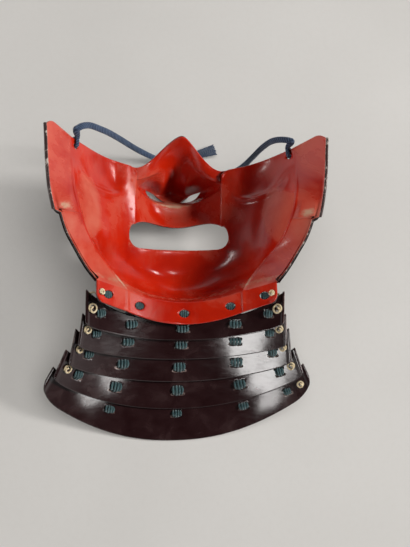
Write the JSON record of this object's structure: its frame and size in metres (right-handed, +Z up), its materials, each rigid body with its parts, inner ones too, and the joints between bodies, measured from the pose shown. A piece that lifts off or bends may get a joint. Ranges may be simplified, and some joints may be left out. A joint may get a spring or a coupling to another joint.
{
  "type": "samurai face guard with throat guard",
  "caption": "Lacquered half-mask of a Japanese armour with a nose piece, a laced throat guard of curved lames and a loose face cord.",
  "frame": {"origin": "middle of the object's outline, without its loose cord, on the surface that it lies on", "axes": "+X across the face towards its right side in this view, +Y from the throat guard to the bridge of the nose, +Z up, towards the wearer; X = 0 is the plane of symmetry"},
  "size_m": [0.1738, 0.209, 0.0875],
  "materials": {
    "red_lacquer": "glossy red lacquer inside, dark brown lacquer outside and on the rims",
    "dark_lacquer": "semi-gloss dark brown lacquer",
    "dark_iron": "dark lacquered iron",
    "teal_braid": "silk braid",
    "gold_braid": "silk braid",
    "navy_braid": "flat silk braid"
  },
  "bodies": {
    "root": {"mask_plate": "red_lacquer", "nose_piece": "red_lacquer", "nose_rivet_1": "dark_iron", "nose_rivet_2": "dark_iron", "nose_rivet_3": "dark_iron", "nose_rivet_4": "dark_iron", "lame_1": "dark_lacquer", "lame_2": "dark_lacquer", "lame_3": "dark_lacquer", "lame_4": "dark_lacquer", "lame_5": "dark_lacquer", "lacing_1": "teal_braid", "lacing_2": "teal_braid", "lacing_3": "teal_braid", "lacing_4": "teal_braid", "lacing_5": "teal_braid", "edge_lacing_left": "gold_braid", "edge_lacing_right": "gold_braid", "cord_hitch_left": "navy_braid", "cord_hitch_right": "navy_braid", "face_cord_left": "navy_braid", "face_cord_right": "navy_braid", "cord_knot": "navy_braid", "cord_tail": "navy_braid"}
  },
  "joints": []
}
